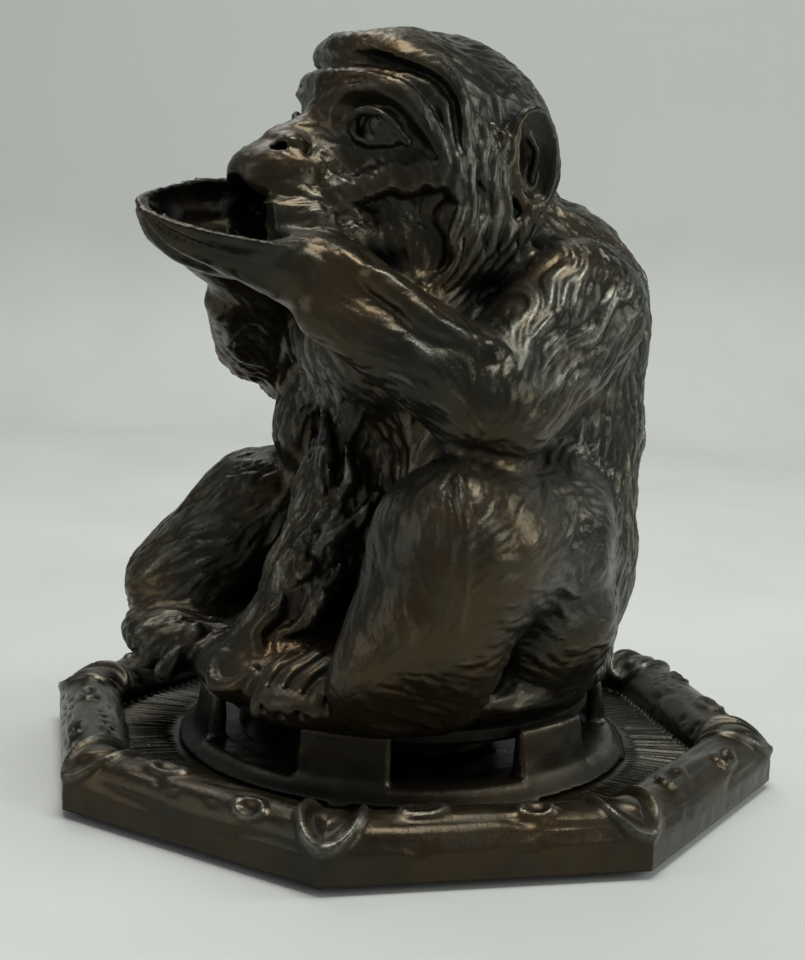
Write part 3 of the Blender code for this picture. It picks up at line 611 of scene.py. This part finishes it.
def build_figure(mats):
    """Sculpted skin in five pieces and the liner of its hollow, painted near-black as painted shade."""
    v, q = shell(skin_field, (-60, -66, 12), (60, 56, 140), VOXEL)
    v = v.astype(F)
    q = q[cavity_field(v[q].mean(1)) > -0.3]
    n = vertex_normals(v, q)
    if np.sum(n * (v - v.mean(0))) < 0:
        n, q = -n, q[:, ::-1]
    inner = np.clip(1.0 - (opening_field(v) - 0.3) / 0.5, 0, 1)
    w = blend_table(v, CARVE, 0, 1)
    lock_amp, fine_amp = w @ np.array([row[2] for row in CARVE],
        F), w @ np.array([row[3] for row in CARVE], F)
    locks, fine = strands(v, n)
    skin = (1 - inner) * np.clip((v[:, 2] - 14.7) / 1.2, 0, 1)
    relief = (0.62 * lock_amp * locks + 0.30 * fine_amp * fine) * skin
    lines, strength = whisker_lines(v)
    relief = relief * (1 - strength) + 0.55 * lines * strength
    lump = 0.25 * lattice(v / 6.5, 21) * skin * (0.2 + 0.8 * np.clip(lock_amp + 0.4, 0, 1))
    opened = openness(v, n)
    v2 = v + n * (relief + lump)[:, None]
    # wear: what stands proud of its surroundings and is open to the hand. Low openness also darkens
    # hollows, as dark patina and painted shade, and inner paints the inside of mouth and bore near-black as
    # painted shade
    attrs = {"relief": np.clip(0.5 + relief / 0.7, 0, 1), "opened": opened * (1 - inner), "inner": inner,
             "smooth": np.clip(1 - 1.6 * fine_amp, 0, 1)}
    c = v2[q].mean(1)
    step = np.interp(c[:, 2], (SEAM_Z, 64.0, 65.5, 78.0, 160.0), (-21.0, -21.0, 8.0, 14.0, 14.0))
    step = np.where(c[:, 2] < SEAM_Z, -21.0, step)
    in_hand = (c[:, 1] < -31.0) & (c[:, 2] > 80) & (figure_hand_only(c) < 0.35)
    front = (c[:, 1] < step) & ~in_hand
    rear = ~front & ~in_hand
    picks = {"monkey_hands": in_hand, "monkey_lower_front": front & (c[:, 2] < SEAM_Z),
        "monkey_upper_front": front & (c[:, 2] >= SEAM_Z),
             "monkey_rear_left": rear & (c[:, 0] >= 0), "monkey_rear_right": rear & (c[:, 0] < 0)}
    stands_for = {"monkey_hands": "cupped_hands", "monkey_lower_front": "figure_lower_front",
        "monkey_upper_front": "figure_upper_front",
                  "monkey_rear_left": "figure_rear", "monkey_rear_right": "figure_rear"}
    for name, pick in picks.items():
        sv, sq, sa = sub_mesh(v2, q, attrs, pick)
        obj = make_mesh(name, sv, sq, sa, mats)
        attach(obj, "figure")
        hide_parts(stands_for[name])
    v, q = shell(cavity_field, (-60, -50, 12), (60, 50, 140), 1.4)
    v = v.astype(F)
    n = vertex_normals(v, q)
    if np.sum(n * (v - v.mean(0))) > 0:
        q = q[:, ::-1]
    q = q[opening_field(v[q].mean(1)) > -0.2]
    # the liner has no openness and full inner: painted near-black all over as painted shade
    one = np.ones(len(v), F)
    v, q, a = sub_mesh(v, q, {"relief": one * 0.5, "opened": one * 0, "inner": one, "smooth": one * 0},
        np.ones(len(q), bool))
    liner = make_mesh("monkey_inside", v, q, a, mats)
    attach(liner, "figure")
    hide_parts("figure_rear")


def figure_hand_only(p):
    """Distance to the hands, far away where the lips are."""
    d = HAND.field(slim(to_hand(p.astype(F))))
    q = to_head(p.astype(F))
    lips = ball((0, -31.0, 108.2), (7.8, 6.4, 5.0))[0](q)
    return np.where(lips < 0.6, 9.0, d)


# ------------------------------------------------------------------ the tray
def tray_grid():
    """The tray as one swept grid: skirt, bark-covered log rim and ribbed floor, mitred at the corners."""
    per_side = 118
    out = []
    for a in np.linspace(0, LOG_BASE, 5):
        out.append((APOTHEM, a, 0))
    for k in range(1, 31):
        t = math.radians(186.0 * k / 30)
        out.append((APOTHEM - LOG_RADIUS + LOG_RADIUS * math.cos(t),
            LOG_BASE + LOG_RADIUS * math.sin(t), 1))
    for r in np.concatenate([np.linspace(52.2, 42, 22), np.linspace(38, 0.02, 9)]):
        out.append((r, FLOOR_Z, 2))
    out = [(r, 0, 3) for r in (0.02, 20, 40, 52, 60, APOTHEM - 0.6, APOTHEM - 0.2)] + out
    prof = np.array(out)
    ang = []
    for s in range(8):
        for i in range(per_side):
            ang.append((s, -1 + 2 * i / per_side))
    ang = np.array(ang)
    a0 = np.radians(-90 + 22.5 + 45 * ang[:, 0])
    tanh = math.tan(math.pi / 8)
    m, k = len(ang), len(prof)
    R = prof[None, :, 0] * np.ones((m, 1))
    along = ang[:, 1:2] * tanh * R
    nx, ny = np.cos(a0)[:, None], np.sin(a0)[:, None]
    X = R * nx - along * ny
    Y = R * ny + along * nx
    Z = np.ones((m, 1)) * prof[None, :, 1]
    V = np.stack([X, Y, Z], -1).reshape(-1, 3).astype(F)
    i = np.arange(m)[:, None] * k + np.arange(k - 1)[None]
    j = (np.arange(m)[:, None] + 1) % m * k + np.arange(k - 1)[None]
    Q = np.stack([i, j, j + 1, i + 1], -1).reshape(-1, 4)
    return V, Q, prof, ang, m, k


def build_tray(mat):
    """Log rim with bark, knots and lobes, and the ribbed floor."""
    V, Q, prof, ang, m, k = tray_grid()
    n = vertex_normals(V, Q)
    up = n[:, 2].mean()
    if up < 0:
        n, Q = -n, Q[:, ::-1]
    kind = np.tile(prof[:, 2], m)
    side = np.repeat(ang[:, 0], k)
    t = np.repeat(ang[:, 1], k)                       # -1..1 along a side
    phi = np.tile(np.degrees(np.arctan2(prof[:, 1] - LOG_BASE, prof[:, 0] - LOG_CENTRE)), m)
    log = (kind == 1).astype(F) * np.clip(phi / 14.0, 0, 1) * np.clip((178 - phi) / 14.0, 0, 1)
    s_mm = t * HALF_LOG
    arc = phi / DEG * LOG_RADIUS
    # bark: long fissures along the log, wandering
    bark = np.stack([s_mm / 17.0 + side * 13.1,
        (arc + 1.2 * lattice(np.stack([s_mm / 7.0 + side * 7.7, arc / 9.0, 0 * arc + 2.5], 1), 31)) / 1.9,
        side * 3.7], 1)
    b = lattice(bark, 32)
    b2 = lattice(bark * (2.2, 2.0, 1.0) + 5.3, 33)
    relief = -0.36 * np.exp(-(b / 0.13) ** 2) + 0.12 * b2 + 0.18 * lattice(np.stack([s_mm / 12.0
        + side * 5.1, arc / 5.0, side], 1), 34)
    lift = relief * log
    hollow = np.zeros(len(V), F)
    # oval knots with a raised eye
    rng = np.random.default_rng(7)
    for sd in range(8):
        spots = [(-0.42 + 0.1 * rng.random(), 70 + 25 * rng.random(), 3.4, 1.7),
            (0.34 + 0.12 * rng.random(), 45 + 40 * rng.random(), 2.6, 1.5)]
        for ts, ph, a, bb in spots:
            e = np.hypot((s_mm - ts * HALF_LOG) / a, (arc - ph / DEG * LOG_RADIUS) / bb)
            here = (side == sd) & (kind == 1)
            lift = np.where(here, lift * np.clip(e - 0.6, 0, 1) + 0.75 * np.exp(-((e - 1.0) / 0.28) ** 2)
                - 0.35 * np.exp(-(e / 0.55) ** 2), lift)
            # the knot eyes are marked for darkening: dark patina and painted shade
            hollow = np.where(here, np.maximum(hollow, np.exp(-(e / 0.6) ** 2)), hollow)
    # tongue-shaped overlap at each mitre: a rounded lobe from the log on the left, with its own ring
    to_corner = (1.0 - np.abs(t)) * HALF_LOG
    arc_c = (arc - 9.8)
    e = np.hypot(to_corner / 5.2, arc_c / 7.4)
    on = (kind == 1)
    lobe = 0.95 * np.exp(-((e - 1.0) / 0.13) ** 2) + 0.35 * np.clip(1 - e, 0,
        1) - 0.5 * np.exp(-((e - 0.62) / 0.16) ** 2)
    lift = np.where(on & (e < 1.5), lift * np.clip((e - 1.0) * 2, 0, 1) + lobe * np.clip(phi / 10, 0,
        1) * np.clip((172 - phi) / 12, 0, 1), lift)
    # the lobe grooves are marked for darkening the same way: dark patina and painted shade
    hollow = np.where(on, np.maximum(hollow, 0.8 * np.exp(-((e - 0.62) / 0.2) ** 2)), hollow)
    # fine radial ribs on the floor
    theta = np.arctan2(V[:, 1], V[:, 0])
    r = np.hypot(V[:, 0], V[:, 1])
    bend = 0.9 * lattice(V / 6.0, 41)
    ribs = 0.55 * np.sin(np.pi * theta * DEG + bend) + 0.6 * lattice(np.stack([theta * DEG / 1.9, r / 14.0,
        0 * r], 1), 42)
    lift = np.where(kind == 2, 0.50 * ribs * np.clip((r - 43.5) / 2.0, 0, 1), lift)
    skirt = (kind == 0) & (prof[:, 1][np.tile(np.arange(k), m)] > 0.2) & (prof[:, 1][np.tile(np.arange(k),
        m)] < 3.2)
    lift = np.where(skirt, 0.10 * lattice(V / 2.2, 43), lift)
    n[kind == 2] = (0, 0, 1)
    V2 = V + n * lift[:, None].astype(F)
    # the floor gets less openness than the rim, the knot hollows less still: darker there as dark patina
    # and painted shade; inner paints the floor inside the collar near-black as painted shade
    opened = np.where(kind == 2, 0.6, 0.9) - 0.5 * hollow
    attrs = {"relief": np.clip(0.5 + lift / 1.1, 0, 1).astype(F), "opened": np.clip(opened, 0, 1).astype(F),
        "inner": ((kind == 2) & (r < 38)).astype(F),
             "smooth": np.zeros(len(V2), F)}
    obj = make_mesh("log_tray", V2, Q, attrs, mat)
    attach(obj, "base")
    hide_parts("tray")


# ------------------------------------------------------------------ the collar
def collar_field(p, centre=None, half=None):
    """Distance to the notched wall and its flared foot."""
    r = np.hypot(p[:, 0], p[:, 1])
    z = p[:, 2]
    lean = 39.9 - (z - 6.0) * (39.9 - 38.4) / 8.3
    wall = np.maximum(np.maximum(r - lean, 36.0 - r), np.maximum(z - 14.3, 3.1 - z))
    foot = np.maximum(np.maximum(r - 43.3 + np.clip((z - 3.1) * 1.3, 0, 6), 31.0 - r), np.maximum(z - 5.5,
        3.1 - z))
    a = np.degrees(np.arctan2(p[:, 1], p[:, 0]))
    rel = (a + GAP_TURN + 30) % 60 - 30
    gap = np.maximum((np.abs(rel) - GAP_HALF) / DEG * r, 5.5 - z)
    k = 0.9
    h = np.clip(0.5 - 0.5 * (-gap - wall) / k, 0, 1)
    wall = -gap + (wall + gap) * h + k * h * (1 - h)
    d = smin(wall, foot, 1.4)
    return d + 0.10 * lattice(p / 2.4, 51) + 0.16 * lattice(p / 5.5, 52)


def build_collar(mat):
    v, q = shell(collar_field, (-46, -46, 1.5), (46, 46, 16.5), 0.5, 16)
    v = v.astype(F)
    n = vertex_normals(v, q)
    r, z = np.hypot(v[:, 0], v[:, 1]), v[:, 2]
    rel = np.abs((np.degrees(np.arctan2(v[:, 1], v[:, 0])) + GAP_TURN + 30) % 60 - 30)
    # edge: notch edges, sills and tops made lighter, as rubbed edges and painted highlight lines
    edge = np.clip((z - 13.4) / 1.0, 0, 1)
    edge = np.maximum(edge, np.exp(-((rel - GAP_HALF) * r / DEG / 0.55) ** 2) * (z > 5.0) * (r > 37.6))
    edge = np.maximum(edge, np.exp(-((z - 5.3) / 0.5) ** 2) * (rel < 17.8) * (r > 37.6))
    if np.sum(n[:, 2] * (v[:, 2] - 8)) < 0:
        q = q[:, ::-1]
    # opened stays low off the edges, so the collar is darkened as painted shade under the figure; inner
    # paints its inside face near-black as painted shade
    attrs = {"relief": 0.5 + 0.45 * edge, "opened": 0.35 + 0.5 * edge, "inner": np.clip((36.4 - r) / 1.0,
        0, 1),
             "smooth": np.full(len(v), 0.4, F)}
    obj = make_mesh("notched_collar", v, q, attrs, mat)
    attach(obj, "base")
    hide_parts("draught_collar")


# ------------------------------------------------------------------ materials
def nodes_of(name):
    mat = bpy.data.materials.new(name)
    mat.use_nodes = True
    return mat, mat.node_tree.nodes, mat.node_tree.links, mat.node_tree.nodes["Principled BSDF"]


def ramp(nodes, links, source, stops):
    r = nodes.new("ShaderNodeValToRGB")
    while len(r.color_ramp.elements) < len(stops):
        r.color_ramp.elements.new(0.5)
    for e, (pos, col) in zip(r.color_ramp.elements, stops):
        e.position = pos
        e.color = (*col, 1) if len(col) == 3 else col
    links.new(source, r.inputs[0])
    return r.outputs[0]


def grey(*stops):
    return [(p, (v, v, v)) for p, v in stops]


def noise(nodes, links, coord, scale, detail=4, rough=0.55, distort=0.0):
    n = nodes.new("ShaderNodeTexNoise")
    n.inputs["Scale"].default_value = scale
    n.inputs["Detail"].default_value = detail
    n.inputs["Roughness"].default_value = rough
    n.inputs["Distortion"].default_value = distort
    links.new(coord, n.inputs["Vector"])
    return n.outputs["Fac"]


def mix(nodes, links, fac, a, b, kind="MIX"):
    m = nodes.new("ShaderNodeMix")
    m.data_type, m.blend_type = "RGBA", kind
    for sock, val in ((m.inputs[0], fac), (m.inputs[6], a), (m.inputs[7], b)):
        if hasattr(val, "is_linked"):
            links.new(val, sock)
        else:
            sock.default_value = (*val, 1) if isinstance(val, tuple) else val
    return m.outputs[2]


def math_node(nodes, links, op, a, b=0.0, clamp=False):
    m = nodes.new("ShaderNodeMath")
    m.operation, m.use_clamp = op, clamp
    for sock, val in ((m.inputs[0], a), (m.inputs[1], b)):
        if hasattr(val, "is_linked"):
            links.new(val, sock)
        else:
            sock.default_value = val
    return m.outputs[0]


def attribute(nodes, name):
    a = nodes.new("ShaderNodeAttribute")
    a.attribute_name = name
    return a.outputs["Fac"]


def bronze(name, tint=(1.0, 1.0, 1.0), shine=0.0):
    """Dark bronze patina: brown-black with warm brown patches, darker in the hollows as dark patina and
    painted shade, pewter grey where rubbed, near-black inside as painted shade.
    """
    mat, N, L, bsdf = nodes_of(name)
    pos = N.new("ShaderNodeNewGeometry").outputs["Position"]
    relief, opened, smooth, inner = (attribute(N, k) for k in ("relief", "opened", "smooth", "inner"))
    broad = noise(N, L, pos, 38.0, 4, 0.55, 0.4)
    mottle = noise(N, L, pos, 160.0, 5, 0.6)
    fine = noise(N, L, pos, 900.0, 4, 0.65)
    base = mix(N, L, ramp(N, L, broad, grey((0.40, 0.0), (0.66, 1.0))), (0.025, 0.0245, 0.0175),
        (0.066, 0.042, 0.018))
    base = mix(N, L, ramp(N, L, mottle, grey((0.45, 0.0), (0.75, 0.55))), base, (0.046, 0.048, 0.038))
    # hollow: darker where little is open above, as dark patina and painted shade
    hollow = ramp(N, L, math_node(N, L, "MULTIPLY", opened, math_node(N, L, "ADD", relief, 0.35)),
        grey((0.10, 1.0), (0.55, 0.0)))
    base = mix(N, L, hollow, base, (0.0060, 0.0078, 0.0062))
    rub = math_node(N, L, "MULTIPLY", ramp(N, L, relief, grey((0.60, 0.0), (1.0, 1.0))), ramp(N, L, opened,
        grey((0.45, 0.0), (0.95, 1.0))))
    rub = math_node(N, L, "MULTIPLY", rub, ramp(N, L, fine, grey((0.35, 0.25), (0.62, 1.0))))
    base = mix(N, L, math_node(N, L, "MULTIPLY", rub, 0.6), base, (0.20, 0.20, 0.165))
    # inner: near-black inside the hollow, the mouth, the bore and the collar: painted shade
    base = mix(N, L, inner, base, (0.010, 0.009, 0.008))
    base = mix(N, L, 1.0, base, tint, "MULTIPLY")
    L.new(base, bsdf.inputs["Base Color"])
    rough = math_node(N, L, "ADD", ramp(N, L, mottle, grey((0.3, 0.24 - shine), (0.75, 0.39))),
        math_node(N, L, "MULTIPLY", hollow, 0.22), True)
    L.new(rough, bsdf.inputs["Roughness"])
    bsdf.inputs["Metallic"].default_value = 0.78
    bsdf.inputs["Specular IOR Level"].default_value = 0.5
    bump = N.new("ShaderNodeBump")
    bump.inputs["Strength"].default_value = 0.35
    bump.inputs["Distance"].default_value = 0.00035
    mixh = math_node(N, L, "ADD", math_node(N, L, "MULTIPLY", fine, 0.5), math_node(N, L, "MULTIPLY",
        mottle, 0.9))
    L.new(mixh, bump.inputs["Height"])
    L.new(bump.outputs[0], bsdf.inputs["Normal"])
    return mat


def plain_metal(name, dark, light, metallic, rough, scale=260.0):
    mat, N, L, bsdf = nodes_of(name)
    pos = N.new("ShaderNodeNewGeometry").outputs["Position"]
    a = noise(N, L, pos, scale, 5, 0.6)
    b = noise(N, L, pos, scale / 6, 3, 0.5, 0.5)
    col = mix(N, L, ramp(N, L, a, grey((0.35, 0.0), (0.7, 1.0))), dark, light)
    col = mix(N, L, ramp(N, L, b, grey((0.5, 0.0), (0.75, 0.7))), col, tuple(c * 0.35 for c in dark))
    L.new(col, bsdf.inputs["Base Color"])
    L.new(ramp(N, L, a, grey((0.3, rough - 0.08), (0.7, rough + 0.14))), bsdf.inputs["Roughness"])
    bsdf.inputs["Metallic"].default_value = metallic
    bump = N.new("ShaderNodeBump")
    bump.inputs["Strength"].default_value = 0.25
    bump.inputs["Distance"].default_value = 0.0002
    L.new(a, bump.inputs["Height"])
    L.new(bump.outputs[0], bsdf.inputs["Normal"])
    return mat


def felt_material():
    mat, N, L, bsdf = nodes_of("green_felt")
    pos = N.new("ShaderNodeNewGeometry").outputs["Position"]
    a = noise(N, L, pos, 2600.0, 5, 0.7)
    b = noise(N, L, pos, 120.0, 3, 0.5)
    col = mix(N, L, a, (0.010, 0.030, 0.016), (0.034, 0.085, 0.048))
    L.new(mix(N, L, ramp(N, L, b, grey((0.4, 0.0), (0.7, 0.5))), col, (0.018, 0.045, 0.026)),
        bsdf.inputs["Base Color"])
    L.new(ramp(N, L, a, grey((0.2, 0.85), (0.8, 1.0))), bsdf.inputs["Roughness"])
    bsdf.inputs["Sheen Weight"].default_value = 0.3
    bump = N.new("ShaderNodeBump")
    bump.inputs["Strength"].default_value = 0.6
    bump.inputs["Distance"].default_value = 0.0004
    L.new(a, bump.inputs["Height"])
    L.new(bump.outputs[0], bsdf.inputs["Normal"])
    return mat


def dress(node, mat):
    """Give a CAD node its material."""
    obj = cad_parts[node]
    for slot_ in obj.material_slots:
        slot_.material = mat
    if not obj.material_slots:
        obj.data.materials.append(mat)


def stage_material(name, light, dark, scale):
    mat, N, L, bsdf = nodes_of(name)
    pos = N.new("ShaderNodeNewGeometry").outputs["Position"]
    a = noise(N, L, pos, scale, 3, 0.5)
    height = N.new("ShaderNodeSeparateXYZ")
    L.new(pos, height.inputs[0])
    paper = mix(N, L, ramp(N, L, a, grey((0.35, 0.0), (0.65, 1.0))), light, dark)
    wall = ramp(N, L, height.outputs[2], grey((0.0, 0.0), (0.22, 1.0)))
    L.new(mix(N, L, wall, paper, tuple(0.90 * v for v in dark)), bsdf.inputs["Base Color"])
    bsdf.inputs["Roughness"].default_value = 0.6
    bsdf.inputs["Specular IOR Level"].default_value = 0.3
    return mat


# ------------------------------------------------------------------ stage, camera, light
def build_stage():
    """A pale table with a soft bend up to a pale wall, square to the view."""
    rows = [(-1.2, 0.0), (0.0, 0.0), (0.45, 0.0)]
    for k in range(1, 13):
        t = math.radians(90 * k / 12)
        rows.append((0.45 + 0.10 * math.sin(t), 0.10 * (1 - math.cos(t))))
    rows += [(0.56, 0.4), (0.58, 1.6)]
    verts, faces = [], []
    for d, z in rows:
        for x in (-2.0, 2.0):
            verts.append(tuple(RIGHT * x - OUT * d + Vector((0, 0, z))))
    for k in range(len(rows) - 1):
        faces.append((2 * k, 2 * k + 1, 2 * k + 3, 2 * k + 2))
    me = bpy.data.meshes.new("table_and_wall")
    me.from_pydata(verts, [], faces)
    me.polygons.foreach_set("use_smooth", np.ones(len(faces), bool))
    me.materials.append(stage_material("pale_paper", (0.545, 0.56, 0.535), (0.51, 0.525, 0.50), 14.0))
    obj = bpy.data.objects.new("table_and_wall", me)
    bpy.context.scene.collection.objects.link(obj)


def aim(obj, place, target):
    obj.location = place
    obj.rotation_euler = (Vector(target) - Vector(place)).to_track_quat("-Z", "Y").to_euler()
    bpy.context.scene.collection.objects.link(obj)


def area(name, place, target, power, size, size_y=None, colour=(1, 1, 1)):
    data = bpy.data.lights.new(name, "AREA")
    data.energy, data.size, data.color = power, size, colour
    if size_y:
        data.shape, data.size_y = "RECTANGLE", size_y
    aim(bpy.data.objects.new(name, data), place, target)


def build_camera():
    lift = Vector((0, 0, LIFT / 1000))
    eye = OUT * 0.29918 + Vector((0, 0, 0.10045)) + lift
    look = RIGHT * -0.00168 + Vector((0, 0, 0.05229)) + lift
    back = (eye - look).normalized()
    r = Vector((0, 0, 1)).cross(back).normalized()
    u = back.cross(r)
    roll = math.radians(2.18)
    r, u = math.cos(roll) * r + math.sin(roll) * u, -math.sin(roll) * r + math.cos(roll) * u
    data = bpy.data.cameras.new("view")
    data.sensor_width, data.lens, data.clip_start = 36.0, 36.0 * 1601 / 960, 0.01
    cam = bpy.data.objects.new("view", data)
    cam.matrix_world = Matrix(((r.x, u.x, back.x, eye.x), (r.y, u.y, back.y, eye.y),
                               (r.z, u.z, back.z, eye.z), (0, 0, 0, 1)))
    bpy.context.scene.collection.objects.link(cam)
    bpy.context.scene.camera = cam


def build_light():
    at = (0, 0, 0.06)
    area("key_top", RIGHT * 0.05 + OUT * 0.10 + Vector((0, 0, 0.75)), at, 3.5, 0.34, 0.28,
        (1.0, 0.99, 0.965))
    area("fill_left", RIGHT * -0.65 + OUT * 0.25 + Vector((0, 0, 0.35)), at, 0.7, 0.35, 0.5,
        (0.93, 0.97, 1.0))
    area("fill_right", RIGHT * 0.6 + OUT * 0.45 + Vector((0, 0, 0.35)), at, 1.3, 0.26, 0.36,
        (0.98, 1.0, 0.97))
    area("back_glow", RIGHT * -0.2 + OUT * -0.35 + Vector((0, 0, 0.7)), (0, 0, 0.1), 1.5, 0.4, 0.3)
    area("window_right", RIGHT * 0.75 + OUT * -0.05 + Vector((0, 0, 0.4)), (0, 0, 0.07), 2.2, 0.3, 0.5,
        (0.95, 1.0, 0.97))
    world = bpy.data.worlds.new("soft_room")
    bpy.context.scene.world = world
    world.use_nodes = True
    bg = world.node_tree.nodes["Background"]
    bg.inputs[0].default_value = (0.86, 0.90, 0.93, 1)
    bg.inputs[1].default_value = 0.30
    bpy.context.scene.view_settings.view_transform = "Standard"


def main():
    # bronze materials: painted shade in hollows and inside, and on the collar painted highlight lines
    figure = bronze("figure_bronze_patina_and_painted_shade", (0.90, 0.91, 0.90))
    tray = bronze("tray_bronze_patina_and_painted_shade", (0.74, 0.75, 0.74), 0.02)
    collar = bronze("collar_bronze_patina_painted_shade_and_highlight", (0.9, 0.93, 0.95))
    build_figure(figure)
    build_tray(tray)
    build_collar(collar)
    dress("tray", plain_metal("tray_underside", (0.020, 0.018, 0.014), (0.050, 0.042, 0.030), 0.7, 0.5))
    dress("locating_ring", plain_metal("machined_ring", (0.016, 0.014, 0.011), (0.034, 0.029, 0.021), 0.8,
        0.5))
    dress("ash_cup", plain_metal("cup_brass", (0.020, 0.015, 0.009), (0.085, 0.060, 0.026), 0.9, 0.45))
    steel = plain_metal("screw_steel", (0.12, 0.11, 0.10), (0.30, 0.29, 0.27), 1.0, 0.38, 500.0)
    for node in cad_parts:
        if "screw" in node:
            dress(node, steel)
    dress("base_felt", felt_material())
    build_stage()
    build_camera()
    build_light()


main()
